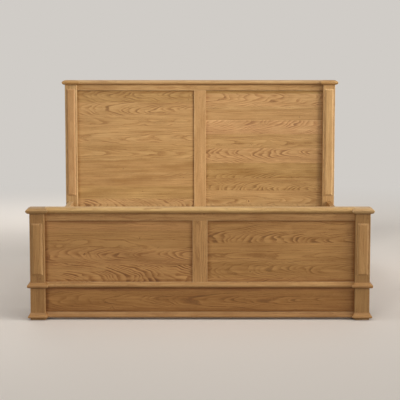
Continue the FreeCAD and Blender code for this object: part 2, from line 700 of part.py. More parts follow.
def centre_beam():
    """The beam between the two hangers, which carries the slats at mid-width."""
    foot_face, head_face = [face_y for face_y, _ in hanger_faces()]
    end_gap = HANGER_PLATE + HANGER_CLEARANCE
    y_range = (foot_face + end_gap, head_face - end_gap)
    bar = block((-BEAM_WIDTH / 2, BEAM_WIDTH / 2), y_range, (BEAM_BOTTOM, SLAT_BOTTOM))
    holes = [leg_stud_hole(y) for y in leg_rows()]
    for y in slat_centres():
        holes += screw_holes(slat_screws(y))
    return softened(bar, Y_AXIS).cut(holes)


def centre_leg(y):
    half = LEG_WIDTH / 2
    bar = block((-half, half), (y - half, y + half), (GLIDE_HEIGHT, BEAM_BOTTOM))
    return softened(bar, Z_AXIS).cut([leg_stud_hole(y), glide_hole(FreeCAD.Vector(0, y, 0))])


def beam_hanger(face_y, outward):
    """A steel shoe: a plate on the end frame, two cheeks beside the beam and a seat under it."""
    inner = BEAM_WIDTH / 2 + HANGER_CLEARANCE
    outer = inner + HANGER_PLATE
    plate_end = face_y + outward.y * HANGER_PLATE
    reach_end = face_y + outward.y * HANGER_REACH
    plate_y = tuple(sorted((face_y, plate_end)))
    reach_y = tuple(sorted((face_y, reach_end)))
    z_range = (BEAM_BOTTOM - HANGER_PLATE, SLAT_BOTTOM - HANGER_TOP_MARGIN)
    back = block((-outer, outer), plate_y, z_range)
    seat = block((-outer, outer), reach_y, (z_range[0], BEAM_BOTTOM))
    cheeks = [block(x_range, reach_y, z_range) for x_range in ((-outer, -inner), (inner, outer))]
    return joined([back, seat] + cheeks).cut(screw_holes(hanger_screws(face_y, outward)))


def mattress_support():
    nodes = {}
    hand_pair(nodes, "side_rail", side_rail())
    hand_pair(nodes, "slat_cleat", slat_cleat())
    nodes["centre_beam"] = centre_beam()
    for name, face in zip(("foot", "head"), hanger_faces()):
        nodes["beam_hanger_" + name] = beam_hanger(*face)
    for name, y in zip(("foot", "head"), leg_rows()):
        nodes["centre_leg_" + name] = centre_leg(y)
    for number, y in enumerate(slat_centres(), start=1):
        nodes["slat_%02d" % number] = slat(y)
    return nodes


# --- Hardware, one node for each kind of fastener ------------------------------------------------

def rail_joint_hardware():
    """Studs, inserts, washers, nuts and dowels of all four side rail joints, and the leg studs."""
    stud = rod(ORIGIN, Z_AXIS, STUD_DIAMETER / 2, STUD_LENGTH)
    nuts, washers, inserts, studs, dowels = [], [], [], [], []
    for face_y, inward in rail_joints():
        for point in joint_points(face_y, STUD_HEIGHTS):
            nut_seat = point + inward * NUT_INNER_FACE
            nuts.append(turned_to(nut(), inward, nut_seat))
            washers.append(turned_to(half_moon_washer(), inward, nut_seat))
            inserts.append(turned_to(insert(), inward, point - inward * INSERT_LENGTH))
            studs.append(turned_to(stud, inward, point - inward * INSERT_LENGTH))
        for point in joint_points(face_y, DOWEL_HEIGHTS):
            start = point - inward * (DOWEL_LENGTH / 2)
            dowels.append(rod(start, inward, DOWEL_DIAMETER / 2, DOWEL_LENGTH))
    return {
        "stud_nuts": both_sides(nuts),
        "half_moon_washers": both_sides(washers),
        "stud_inserts": both_sides(inserts),
        "joint_studs": both_sides(studs) + [turned_to(stud, Z_AXIS, leg_stud_start(y)) for y in leg_rows()],
        "joint_dowels": both_sides(dowels),
    }


def wood_screws():
    """All the countersunk screws: slats, cleats and hangers."""
    body = wood_screw()
    middle = []
    for y in slat_centres():
        middle += slat_screws(y)
    for face_y, outward in hanger_faces():
        middle += hanger_screws(face_y, outward)
    sides = [turned_to(body, direction, place) for place, direction in cleat_screws()]
    return [turned_to(body, direction, place) for place, direction in middle] + both_sides(sides)


def glides():
    rows = (FOOT_FRONT_Y + POST_WIDTH / 2, HEAD_FRONT_Y + POST_WIDTH / 2)
    places = [(x, y) for x in (-POST_CENTRE_X, POST_CENTRE_X) for y in rows]
    places += [(0, y) for y in leg_rows()]
    return [turned_to(glide(), Z_AXIS, FreeCAD.Vector(x, y, 0)) for x, y in places]


def hardware():
    groups = rail_joint_hardware()
    groups["wood_screws"] = wood_screws()
    groups["floor_glides"] = glides()
    return {name: Part.makeCompound(pieces) for name, pieces in groups.items()}


for part_nodes in (headboard(), footboard(), mattress_support(), hardware()):
    for node, shape in part_nodes.items():
        shape.exportStep("parts/" + node + ".step")
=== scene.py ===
import math
import random

import bpy
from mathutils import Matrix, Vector

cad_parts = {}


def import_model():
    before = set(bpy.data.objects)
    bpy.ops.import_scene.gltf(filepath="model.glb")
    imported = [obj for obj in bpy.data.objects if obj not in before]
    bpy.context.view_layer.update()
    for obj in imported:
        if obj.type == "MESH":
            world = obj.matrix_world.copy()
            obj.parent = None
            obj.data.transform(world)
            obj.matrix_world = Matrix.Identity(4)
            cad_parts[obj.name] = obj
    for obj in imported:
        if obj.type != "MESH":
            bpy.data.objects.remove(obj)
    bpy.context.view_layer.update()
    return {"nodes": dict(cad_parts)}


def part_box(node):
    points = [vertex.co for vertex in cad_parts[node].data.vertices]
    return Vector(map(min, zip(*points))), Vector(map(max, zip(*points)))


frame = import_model()


def shown(red, green, blue):
    """A colour as a screen shows it, 0 to 255, as the linear values that a shader takes."""
    linear = []
    for value in (red, green, blue):
        share = value / 255
        linear.append(share / 12.92 if share <= 0.04045 else ((share + 0.055) / 1.055) ** 2.4)
    return (*linear, 1.0)


# --- Shader building ------------------------------------------------------------------------------

# Places of outputs and inputs that have no name of their own
OBJECT_COORDINATES = 3
CAMERA_RAY = 0
GLOSSY_RAY = 3
TRANSMISSION_RAY = 6
MIX_FACTOR = 0
MIX_FIRST_COLOUR = 6
MIX_SECOND_COLOUR = 7

# How uneven cells are in width
CELL_UNEVENNESS = 0.35
# A knot is solid up to this share of its radius, and bends the grain up to so many radii away
KNOT_EDGE = 0.7
KNOT_REACH = 5


class Value:
    """A shader output. Arithmetic on it adds Math nodes, with plain numbers on either side."""

    def __init__(self, finish, socket):
        self.finish = finish
        self.socket = socket

    def math(self, operation, *others):
        return self.finish.node("ShaderNodeMath", [self, *others], operation=operation)[0]

    def __add__(self, other):
        return self.math("ADD", other)

    def __sub__(self, other):
        return self.math("SUBTRACT", other)

    def __mul__(self, other):
        return self.math("MULTIPLY", other)

    def __truediv__(self, other):
        return self.math("DIVIDE", other)

    def __rsub__(self, other):
        return self * -1 + other

    def __abs__(self):
        return self.math("ABSOLUTE")

    def __gt__(self, other):
        return self.math("GREATER_THAN", other)

    __radd__ = __add__
    __rmul__ = __mul__

    def root(self):
        return self.math("SQRT")

    def floor(self):
        return self.math("FLOOR")

    def fraction(self):
        return self.math("FRACT")

    def least(self, other):
        return self.math("MINIMUM", other)

    def most(self, other):
        return self.math("MAXIMUM", other)

    def step(self, low, high):
        """0 below low and 1 above high, or the other way round, with a smooth turn between."""
        ends = {"From Min": low, "From Max": high}
        made = self.finish.node("ShaderNodeMapRange", {"Value": self, **ends},
                                interpolation_type="SMOOTHSTEP")
        return made[0]


def changing(value, change):
    """What is 1 where the value is 1, and smaller by the change where it is 0."""
    return value * change + (1 - change)


def either(factor, first, second):
    """first where the factor is 0 and second where it is 1."""
    return first + (second - first) * factor


class Finish:
    """A material's node tree while it is filled."""

    def __init__(self, name):
        self.material = bpy.data.materials.new(name)
        self.material.use_nodes = True
        self.tree = self.material.node_tree
        self.tree.nodes.clear()
        self.output = self.tree.nodes.new("ShaderNodeOutputMaterial")

    def node(self, kind, values=(), stops=None, **settings):
        """A node with its settings and ramp stops, then the values or links of its sockets."""
        made = self.tree.nodes.new(kind)
        for name, setting in settings.items():
            setattr(made, name, setting)
        for index, (place, colour) in enumerate(stops or []):
            elements = made.color_ramp.elements
            element = elements[index] if index < len(elements) else elements.new(place)
            element.position = place
            element.color = colour
        pairs = values.items() if isinstance(values, dict) else enumerate(values)
        for key, value in pairs:
            if isinstance(value, Value):
                self.tree.links.new(value.socket, made.inputs[key])
            else:
                made.inputs[key].default_value = value
        return [Value(self, socket) for socket in made.outputs if socket.enabled]

    def vector(self, x, y, z):
        return self.node("ShaderNodeCombineXYZ", [x, y, z])[0]

    def parts(self, vector):
        return self.node("ShaderNodeSeparateXYZ", [vector])

    def place(self):
        """The three coordinates on the piece."""
        return self.parts(self.node("ShaderNodeTexCoord")[OBJECT_COORDINATES])

    def noise(self, x, y, z, detail=2.0, roughness=0.5):
        """Noise about 0.5 whose blotches are one unit long along each of the three values."""
        values = {"Vector": self.vector(x, y, z), "Scale": 1.0, "Detail": detail, "Roughness": roughness}
        return self.node("ShaderNodeTexNoise", values)[0]

    def patterns(self, u, v, w, sizes):
        """A noise for each name, with blotches so long along u and so wide along v and w."""
        made = {}
        for name, (length, width, *rest) in sizes.items():
            made[name] = self.noise(u / length, v / width, w / width, *rest)
        return made

    def cells(self, place, width, shift):
        """Uneven cells along one direction: the place from the cell's middle and three chances."""
        scaled = place / width + shift
        values = {"W": scaled, "Scale": 1.0, "Randomness": CELL_UNEVENNESS}
        _, colour, middle = self.node("ShaderNodeTexVoronoi", values, voronoi_dimensions="1D")
        return (scaled - middle) * width, self.node("ShaderNodeSeparateColor", [colour])

    def knots(self, u, v, spacing, radius, share):
        """1 in a knot, and how far the grain bends round it."""
        values = {"Vector": self.vector(u / spacing, v / spacing, 0.0), "Scale": 1.0}
        distance, colour, _ = self.node("ShaderNodeTexVoronoi", values, voronoi_dimensions="2D")
        present = 1 - (self.node("ShaderNodeSeparateColor", [colour])[0] > share)
        away = distance * spacing
        inside = away.step(radius, radius * KNOT_EDGE)
        near = away.step(radius * KNOT_REACH, 0.0)
        return inside * present, near * present

    def blend(self, factor, first, second):
        values = {MIX_FACTOR: factor, MIX_FIRST_COLOUR: first, MIX_SECOND_COLOUR: second}
        return self.node("ShaderNodeMix", values, data_type="RGBA")[0]

    def multiplied(self, colour, red, green, blue):
        """A colour times three numbers, each a value or a plain number."""
        factors = self.vector(red, green, blue)
        return self.node("ShaderNodeVectorMath", [colour, factors], operation="MULTIPLY")[0]

    def bump(self, height, strength, distance):
        values = {"Strength": strength, "Distance": distance, "Height": height}
        return self.node("ShaderNodeBump", values)[0]

    def surface(self, colour, roughness, normal, **constants):
        """Feeds the output from a Principled shader and gives the finished material."""
        values = {"Base Color": colour, "Roughness": roughness, "Normal": normal}
        for name, value in constants.items():
            values[name.replace("_", " ")] = value
        made = self.node("ShaderNodeBsdfPrincipled", values)[0]
        self.tree.links.new(made.socket, self.output.inputs["Surface"])
        return self.material


# --- How every board grows: metres ----------------------------------------------------------------

STAVE_WIDTH = 0.1
STAVE_OFFSET = 0.7
STAVE_TILT = 0.26
PLAIN_TILT = 0.05
PITH_DEPTH = 0.035
PITH_DEPTH_SPREAD = 0.08
PITH_SIDEWAYS_SPREAD = 0.15
PITH_WANDER = 0.06
PITH_WANDER_UNDER_TILT = 0.2
PITH_RIPPLE = 0.011
ROUNDED_PITH = 0.0004
ROUND_PITH_SCALE = 0.09
CUT_SPREAD = 7.3

# Where a board is cut from an endless pattern: the range that a chance is drawn from
STAVE_SHIFT = (10, 90)
GRAIN_SHIFT = (5, 50)
FAR_SIDE_SHIFT = (2, 3)

# Patterns drawn out along the grain: length along it, width across it, then detail and roughness
GROWTH_PATTERNS = {"wander": (0.4, 0.2, 1.0), "ripple": (0.11, 0.035, 1.0)}

# Rubbed wood and a painted sheen along edges: how far from an edge it is complete and where it ends, and
# the fibres that show it
WEAR_AND_SHEEN_START = 0.0006
WEAR_AND_SHEEN_END = 0.0055
WORN_AND_SHEEN_FIBRES = (0.35, 0.6)


def edge_distance(centred, half):
    """Distance to the nearest edge of a piece's box: the second smallest to its faces."""
    a, b, c = [half[axis] - abs(centred[axis]) for axis in range(3)]
    return a.least(b).most(a.most(b).least(c))


class Board:
    """Grain coordinates of one piece: u along the grain, v and w across it, from the piece's middle."""

    def __init__(self, finish, low, high, along, seed):
        self.finish = finish
        self.draw = random.Random(seed)
        x, y, z = finish.place()
        middle = (low + high) / 2
        centred = [x - middle.x, y - middle.y, z - middle.z]
        size = high - low
        self.edges = edge_distance(centred, size / 2)
        if along == "ring":
            self.u, self.v, self.w = self.round_a_post(centred)
        else:
            first = "XYZ".index(along)
            others = [axis for axis in range(3) if axis != first]
            wide, thin = sorted(others, key=lambda axis: -round(size[axis], 3))
            self.u, self.v, self.w = centred[first], centred[wide], centred[thin]

    def round_a_post(self, centred):
        """Lengths round a post, mitred at its corners: each side runs along its own face."""
        x, y, z = centred
        sideways = abs(x) > abs(y)
        outwards = either(sideways, y, x)
        far_side = (outwards > 0) * self.draw.uniform(*FAR_SIDE_SHIFT)
        return either(sideways, x, y) + far_side, z, outwards

    def wear_and_sheen(self, fibre):
        """1 on the fibres along the edges that are rubbed pale and carry a painted sheen."""
        return self.edges.step(WEAR_AND_SHEEN_END, WEAR_AND_SHEEN_START) * fibre.step(*WORN_AND_SHEEN_FIBRES)


def growth(board, ring_width, staves):
    """The ring phase, the radius, the places round the pith, along and across the grain, and chances."""
    finish, draw = board.finish, board.draw
    u, v, w = board.u, board.v, board.w
    if staves:
        v, chances = finish.cells(v, STAVE_WIDTH, draw.uniform(*STAVE_SHIFT))
        u = u + (chances[0] - 0.5) * STAVE_OFFSET
    else:
        chances = [draw.random() for _ in range(3)]
    first, second, third = chances
    tilt = (third - 0.5) * (STAVE_TILT if staves else PLAIN_TILT)
    heart = (second - 0.5) * PITH_SIDEWAYS_SPREAD
    depth = first * PITH_DEPTH_SPREAD + PITH_DEPTH
    place = board.u + first * CUT_SPREAD + draw.uniform(*GRAIN_SHIFT)
    patterns = finish.patterns(place, v, w, GROWTH_PATTERNS)
    wander = patterns["wander"] - 0.5
    ripple = patterns["ripple"] - 0.5
    across = v - heart + wander * PITH_WANDER
    deep = w + depth + tilt * (u + wander * PITH_WANDER_UNDER_TILT) + ripple * PITH_RIPPLE
    below = (deep * deep + ROUNDED_PITH).root()
    radius = (across * across + below * below).root()
    round_pith = across.math("ARCTAN2", below) * ROUND_PITH_SCALE
    return radius / ring_width, radius, round_pith, place, v, chances


# --- Oak ------------------------------------------------------------------------------------------

RING_WIDTH = 0.0046
RINGS_PER_SWELL = 3.1
SWELL_LENGTH = 0.9
SWELL = 2.4
OAK_KNOT_BEND = 1.2
PIN_KNOT_SPACING = 0.3
PIN_KNOT_RADIUS = 0.004
PIN_KNOT_SHARE = 0.5

OAK_PATTERNS = {
    "streak": (0.13, 0.008, 3.0, 0.6),
    "long_streak": (0.42, 0.012, 2.0, 0.6),
    "patch": (0.09, 0.04, 1.0),
    "fibre": (0.03, 0.0011, 2.0, 0.6),
    "dash": (0.011, 0.0007, 1.0),
    "cloud": (0.32, 0.05, 2.0),
}
RAY_LENGTH = 0.016
RAY_HEIGHT = 0.022
RAY_THICKNESS = 0.0009

# Where each pattern starts to show and where it shows fully
RING_END = (0.78, 0.1)
RING_START = (0.88, 1.0)
DASHES = (0.53, 0.63)
POROUS_WOOD = (0.25, 0.8)
RAY_FLAKES = (0.62, 0.7)
STREAKED_RINGS = (0.3, 0.6)
PATCHY_RINGS = (0.36, 0.58)
SAPWOOD_EDGE = (0.026, 0.046)
SAPWOOD_CHANCE = (0.45, 0.8)

# How much of a ring's darkness comes and goes from ring to ring, along streaks and in patches
RING_CHANGE = 0.6
STREAK_CHANGE = 0.6
PATCH_CHANGE = 0.85

# How dark the rings are: on single boards, on the plainest staves of the panels and of the apron,
# how much more on the most figured stave, and at most
BOARD_CONTRAST = 0.42
PANEL_CONTRAST = 0.5
APRON_CONTRAST = 1.1
FIGURE_CONTRAST = 1.4
MOST_CONTRAST = 1.4

OAK_RAMP = [
    (0.0, shown(186, 146, 93)),
    (0.3, shown(173, 129, 77)),
    (0.65, shown(144, 98, 51)),
    (1.0, shown(114, 72, 34)),
]
OAK_SAPWOOD = shown(208, 172, 116)
OAK_PINK = shown(188, 138, 94)
OAK_STRAW = shown(184, 150, 86)
OAK_WARM = shown(188, 140, 92)
OAK_RAY = shown(222, 184, 128)
OAK_PORE = shown(84, 52, 28)
# Pale edge colour: rubbed wood and a painted sheen
OAK_WORN_AND_SHEEN = shown(230, 196, 148)
SAPWOOD_SHARE = 0.6
PINK_SHARE = 0.45
STRAW_SHARE = 0.4
WARM_SHARE = 0.2
LEAST_WARM_SHARE = 0.1
RAY_SHARE = 0.16
PORE_SHARE = 0.5
PIN_KNOT_DARKNESS = 0.6
# How strongly edges are painted pale, partly as rubbed wood and partly as painted sheen: on common boards,
# and on posts and caps
COMMON_WEAR_AND_SHEEN = 0.45
PROUD_WEAR_AND_SHEEN = 0.75
OAK_ROUGHNESS = 0.48

# How strongly each pattern shades staved panels and single boards
STAVED_SHADES = {"cloud": 0.65, "streak": 0.5, "fibre": 0.14, "long_streak": 0.6, "patch": 0.25}
PLAIN_SHADES = {"cloud": 0.65, "streak": 0.65, "fibre": 0.14}
STAVE_SHADE = 0.3
# Darker wood is also deeper in colour: how strongly a shade tells on red, green and blue
SHADE_DEPTHS = (0.9, 1.15, 1.5)

# Painted shade darkens a panel along its frame, where the frame shades it: where that is complete, where
# it ends, how dark
PAINTED_SHADE_START = 0.008
PAINTED_SHADE_END = 0.036
PAINTED_SHADE_AMOUNTS = {"foot": 0.3, "head": 0.14}

# How much redder, greener and bluer than the common oak each board is, by the start of its name: partly
# the board's own tone, partly painted light and shade, with the footboard darker and warmer than the
# headboard, its apron and posts darker, the caps and right strips paler with painted sheen, the left side
# rail painted lit and the right one painted shaded
BOARD_TINTS_AND_PAINTED_LIGHT = {
    "foot_panel_left": (0.92, 0.81, 0.68),
    "foot_panel_right": (0.97, 0.86, 0.74),
    "foot_apron": (0.86, 0.71, 0.54),
    "foot_post_left": (0.76, 0.69, 0.57),
    "foot_post_right": (0.74, 0.69, 0.58),
    "foot_post_strip_left": (0.9, 0.84, 0.74),
    "foot_post_strip_right": (0.95, 0.89, 0.82),
    "foot_post_cap_left": (0.84, 0.85, 0.84),
    "foot_post_cap_right": (1.08, 1.18, 1.32),
    "foot_post_mouldings": (0.9, 0.83, 0.74),
    "foot_base_moulding": (0.82, 0.73, 0.63),
    "foot_waist_moulding": (0.95, 0.91, 0.85),
    "foot_cap_rail": (1.18, 1.27, 1.28),
    "foot_top_rail": (0.97, 0.9, 0.82),
    "foot_muntin": (1.04, 0.97, 0.9),
    "head_panel": (0.96, 0.97, 1.0),
    "head_post_left": (0.93, 0.98, 1.03),
    "head_post_strip_left": (0.94, 0.9, 0.94),
    "head_post_strip_right": (1.14, 1.19, 1.27),
    "head_cap_rail": (1.05, 1.14, 1.34),
    "head_top_rail": (0.93, 0.94, 0.94),
    "head_muntin": (1.0, 1.02, 1.06),
    "side_rail_left": (0.97, 1.08, 1.25),
    "side_rail_right": (0.84, 0.74, 0.58),
}
COMMON_OAK = (1.0, 1.0, 1.0)


def oak(node, low, high):
    """Satin lacquered oak with porous growth rings, pores and ray flecks."""
    finish = Finish(node + "_oak")
    board = Board(finish, low, high, grain_direction(node), node + "_oak")
    staves = "panel" in node or "apron" in node
    phase, radius, round_pith, u, v, chances = growth(board, RING_WIDTH, staves)
    first, second, third = chances
    contrast = BOARD_CONTRAST
    if staves:
        figure = abs(third - 0.5) * 2
        plainest = APRON_CONTRAST if "apron" in node else PANEL_CONTRAST
        contrast = (figure * FIGURE_CONTRAST + plainest).least(MOST_CONTRAST)
    pin_knot, bend = finish.knots(u, v, PIN_KNOT_SPACING, PIN_KNOT_RADIUS, PIN_KNOT_SHARE)

    swell = finish.noise(phase / RINGS_PER_SWELL, u / SWELL_LENGTH, 0.0, 1.0)
    phase = phase + (swell - 0.5) * SWELL + bend * OAK_KNOT_BEND
    part = phase.fraction()
    ring = finish.node("ShaderNodeTexWhiteNoise", {"W": phase.floor()}, noise_dimensions="1D")[0]
    porous = part.step(*RING_END).most(part.step(*RING_START)) * changing(ring, RING_CHANGE)

    patterns = finish.patterns(u, v, board.w, OAK_PATTERNS)
    fibre = patterns["fibre"]
    flake = finish.noise(u / RAY_LENGTH, radius / RAY_HEIGHT, round_pith / RAY_THICKNESS, 1.0)
    pores = patterns["dash"].step(*DASHES) * porous.step(*POROUS_WOOD)
    flecks = flake.step(*RAY_FLAKES)
    streaked = changing(patterns["streak"].step(*STREAKED_RINGS), STREAK_CHANGE)
    patchy = changing(patterns["patch"].step(*PATCHY_RINGS), PATCH_CHANGE)
    band = porous * streaked * patchy * contrast

    ground = finish.node("ShaderNodeValToRGB", [band], stops=OAK_RAMP)[0]
    if staves:
        sapwood = v.step(*SAPWOOD_EDGE) * second.step(*SAPWOOD_CHANCE)
        pale = finish.blend(sapwood * SAPWOOD_SHARE, ground, OAK_SAPWOOD)
        pink = finish.blend(second * PINK_SHARE, pale, OAK_PINK)
        hued = finish.blend((1 - first) * STRAW_SHARE, pink, OAK_STRAW)
    else:
        hued = finish.blend(second * WARM_SHARE + LEAST_WARM_SHARE, ground, OAK_WARM)
    rays = finish.blend(flecks * RAY_SHARE, hued, OAK_RAY)
    dark = finish.blend((pores * PORE_SHARE).most(pin_knot * PIN_KNOT_DARKNESS), rays, OAK_PORE)
    proud = "post" in node or "cap" in node
    # Edges painted pale: rubbed wood and a painted sheen, stronger on posts and caps
    worn_and_sheen = finish.blend(board.wear_and_sheen(fibre) * (PROUD_WEAR_AND_SHEEN if proud else COMMON_WEAR_AND_SHEEN), dark, OAK_WORN_AND_SHEEN)
    shades = STAVED_SHADES if staves else PLAIN_SHADES
    shadings = [(patterns[name] - 0.5) * strength for name, strength in shades.items()]
    shade = sum(shadings[1:], shadings[0])
    if staves:
        # Painted shade along the panel's edges, where the frame shades it
        painted_shade = board.edges.step(PAINTED_SHADE_END, PAINTED_SHADE_START) * PAINTED_SHADE_AMOUNTS[node[:4]]
        shade = shade + (first - 0.5) * STAVE_SHADE - painted_shade
    # The tint carries painted light and shade as well as the board's own tone
    tints = [tint * (shade * depth + 1) for tint, depth in zip(board_tint_and_painted_light(node), SHADE_DEPTHS)]
    toned = finish.multiplied(worn_and_sheen, *tints)

    height = fibre * 0.3 - pores - porous * 0.25 + flecks * 0.15
    rough = (fibre - 0.5) * 0.2 + pores * 0.2 - flecks * 0.05 + OAK_ROUGHNESS
    bump = finish.bump(height, strength=0.35, distance=0.0004)
    return finish.surface(toned, rough, bump, Coat_Weight=0.1, Coat_Roughness=0.34, IOR=1.45)


# --- Pine and beech -------------------------------------------------------------------------------

PINE_RING_WIDTH = 0.0042
PINE_KNOT_SPACING = 0.34
PINE_KNOT_RADIUS = 0.012
PINE_KNOT_SHARE = 0.8
PINE_KNOT_BEND = 5
PINE_PATTERNS = {
    "streak": (0.12, 0.006, 3.0, 0.6),
    "fibre": (0.03, 0.0009, 2.0, 0.6),
    "rim": (0.006, 0.006),
}
LATE_WOOD_START = (0.35, 0.9)
LATE_WOOD_END = (1.0, 0.95)
LATE_WOOD_SHARE = 0.75
PINE_KNOT_DARKNESS = 0.5
PINE_KNOT_RIM = 0.6
PINE_WEAR = 0.3
PINE_STREAK_SHADE = 0.35
PINE_FIBRE_SHADE = 0.16
PINE_BOARD_SHADE = 0.12
PINE_ROUGHNESS = 0.68
PINE_EARLY_WOOD = shown(224, 192, 142)
PINE_LATE_WOOD = shown(188, 134, 80)
PINE_KNOT = shown(122, 76, 44)
PINE_WORN = shown(236, 212, 170)


def pine(node, low, high):
    """Planed bare pine: pale early wood, thin red-brown late wood and round knots."""
    finish = Finish(node + "_pine")
    board = Board(finish, low, high, grain_direction(node), node + "_pine")
    phase, _, _, u, v, chances = growth(board, PINE_RING_WIDTH, False)
    knot, bend = finish.knots(u, v, PINE_KNOT_SPACING, PINE_KNOT_RADIUS, PINE_KNOT_SHARE)
    part = (phase + bend * PINE_KNOT_BEND).fraction()
    late = part.step(*LATE_WOOD_START) * part.step(*LATE_WOOD_END)
    streak, fibre, rim = finish.patterns(u, v, board.w, PINE_PATTERNS).values()

    ground = finish.blend(late * LATE_WOOD_SHARE, PINE_EARLY_WOOD, PINE_LATE_WOOD)
    knotted = finish.blend(knot * (rim * PINE_KNOT_RIM + PINE_KNOT_DARKNESS), ground, PINE_KNOT)
    worn_and_sheen = finish.blend(board.wear_and_sheen(fibre) * PINE_WEAR, knotted, PINE_WORN)
    shade = (streak - 0.5) * PINE_STREAK_SHADE + (fibre - 0.5) * PINE_FIBRE_SHADE
    level = shade + (chances[0] - 0.5) * PINE_BOARD_SHADE + 1.0
    toned = finish.multiplied(worn_and_sheen, level, level, level)
    rough = (fibre - 0.5) * 0.16 + PINE_ROUGHNESS - knot * 0.14
    bump = finish.bump(fibre * 0.5 + late * 0.35 + knot * 0.4, strength=0.4, distance=0.0004)
    return finish.surface(toned, rough, bump)


BEECH_PATTERNS = {"streak": (0.03, 0.002, 3.0, 0.6), "fleck": (0.0025, 0.0005, 1.0)}
BEECH_STREAKS = (0.25, 0.75)
BEECH_FLECKS = (0.58, 0.66)
BEECH_FLECK_SHARE = 0.5
BEECH_ROUGHNESS = 0.5
BEECH_BROWN = shown(192, 148, 110)
BEECH_PALE = shown(214, 176, 138)
BEECH_FLECK = shown(150, 102, 70)


def beech(node, low, high):
    """Bare beech dowels: an even pinkish ground with short dark flecks."""
    finish = Finish(node + "_beech")
    board = Board(finish, low, high, "Y", node + "_beech")
    streak, fleck = finish.patterns(board.u, board.v, board.w, BEECH_PATTERNS).values()
    ground = finish.blend(streak.step(*BEECH_STREAKS), BEECH_BROWN, BEECH_PALE)
    flecked = finish.blend(fleck.step(*BEECH_FLECKS) * BEECH_FLECK_SHARE, ground, BEECH_FLECK)
    rough = streak * 0.2 + BEECH_ROUGHNESS
    bump = finish.bump(streak, strength=0.3, distance=0.0002)
    return finish.surface(flecked, rough, bump)


# --- Zinc and nylon -------------------------------------------------------------------------------

ZINC_PATTERNS = {"mottle": (0.008, 0.008, 3.0), "marks": (0.006, 0.0004, 2.0, 0.6)}
ZINC_MOTTLES = (0.35, 0.65)
TURNING_MARKS = (0.55, 0.75)
TURNING_MARK_SHARE = 0.4
ZINC_ROUGHNESS = 0.18
ZINC_BLUE = shown(196, 200, 206)
ZINC_STRAW = shown(206, 200, 182)
ZINC_DULL = shown(150, 152, 154)


def zinc_steel(node, low, high):
    """Bright zinc plate: a faint blue and straw mottle over fine turning marks."""
    finish = Finish(node + "_zinc")
    mottle, marks = finish.patterns(*finish.place(), ZINC_PATTERNS).values()
    plate = finish.blend(mottle.step(*ZINC_MOTTLES), ZINC_BLUE, ZINC_STRAW)
    dulled = finish.blend(marks.step(*TURNING_MARKS) * TURNING_MARK_SHARE, plate, ZINC_DULL)
    rough = mottle * 0.22 + marks * 0.16 + ZINC_ROUGHNESS
    bump = finish.bump(marks, strength=0.2, distance=0.0001)
    return finish.surface(dulled, rough, bump, Metallic=1.0)


NYLON_PATTERNS = {"grain": (0.0008, 0.0008, 2.0, 0.6), "smear": (0.01, 0.002, 3.0)}
NYLON_GRAINS = (0.3, 0.7)
RUBBED_HEIGHTS = (0.0012, 0.0)
RUBBED_SMEARS = (0.4, 0.65)
RUBBED_SHARE = 0.6
NYLON_ROUGHNESS = 0.45
NYLON_BLACK = shown(40, 38, 36)
NYLON_GREY = shown(56, 53, 50)
NYLON_RUBBED = shown(112, 106, 98)


def glide_nylon(node, low, high):
    """Moulded dark nylon, rubbed paler where it stands on the floor."""
    finish = Finish(node + "_nylon")
    x, y, z = finish.place()
    grain, smear = finish.patterns(x, y, z, NYLON_PATTERNS).values()
    moulded = finish.blend(grain.step(*NYLON_GRAINS), NYLON_BLACK, NYLON_GREY)
    rubbing = z.step(*RUBBED_HEIGHTS) * smear.step(*RUBBED_SMEARS) * RUBBED_SHARE
    rubbed = finish.blend(rubbing, moulded, NYLON_RUBBED)
    rough = smear * 0.25 + NYLON_ROUGHNESS
    bump = finish.bump(grain, strength=0.4, distance=0.0001)
    return finish.surface(rubbed, rough, bump)


# --- Which finish each piece has ------------------------------------------------------------------

def grain_direction(node):
    if "post_cap" in node or "post_mouldings" in node:
        return "ring"
    if "post" in node or "muntin" in node or "leg" in node:
        return "Z"
    if node.startswith(("side_rail", "slat_cleat", "centre_beam")):
        return "Y"
    return "X"


# A board's tint: its own tone together with painted light and shade
def board_tint_and_painted_light(node):
    for name, tint in BOARD_TINTS_AND_PAINTED_LIGHT.items():
        if node.startswith(name):
            return tint
    return COMMON_OAK


FINISHES = {"oak": oak, "pine": pine, "beech": beech, "zinc_steel": zinc_steel, "glide_nylon": glide_nylon}


def dress(node, thing):
    low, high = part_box(node)
    for slot in thing.material_slots:
        finish_name = slot.material.name.split(".")[0]
        slot.material = FINISHES[finish_name](node, low, high)


for node, thing in sorted(frame["nodes"].items()):
    dress(node, thing)


# --- Stage, lights and camera: metres, degrees and watts ------------------------------------------

CAMERA_DISTANCE = 7.59
CAMERA_HEIGHT = 1.581
CAMERA_PITCH = 6.7
CAMERA_LENS = 122.1
SENSOR_WIDTH = 36.0

FLOOR_SIZE = 60.0
FLOOR_FADE_START = 2.6
FLOOR_FADE_END = 6.5
FLOOR_ROUGHNESS = 0.7
FLOOR_COLOUR = shown(236, 227, 217)
FLOOR_BOUNCE_COLOUR = shown(150, 137, 118)
BACKGROUND_COLOUR = shown(208, 204, 199)
AMBIENT_COLOUR = (1.0, 0.99, 0.97, 1.0)
AMBIENT_STRENGTH = 0.295

# Windows: how far to the camera's right, height, how wide each looks, and strength
WINDOWS = {
    "right_window": (53.0, 26.0, 56.0, 0.79),
    "side_window": (80.0, 20.0, 24.0, 0.6),
    "left_window": (-24.0, 30.0, 12.0, 0.55),
}

# A wide, soft spot from the right, on the headboard and clear of the footboard
SPOT_PLACE = (5.2, -2.7, 3.6)
SPOT_TARGET = (0.0, 1.03, 1.15)
SPOT_CONE = 26.0
SPOT_EDGE = 0.55
SPOT_RADIUS = 1.5
SPOT_POWER = 1800.0

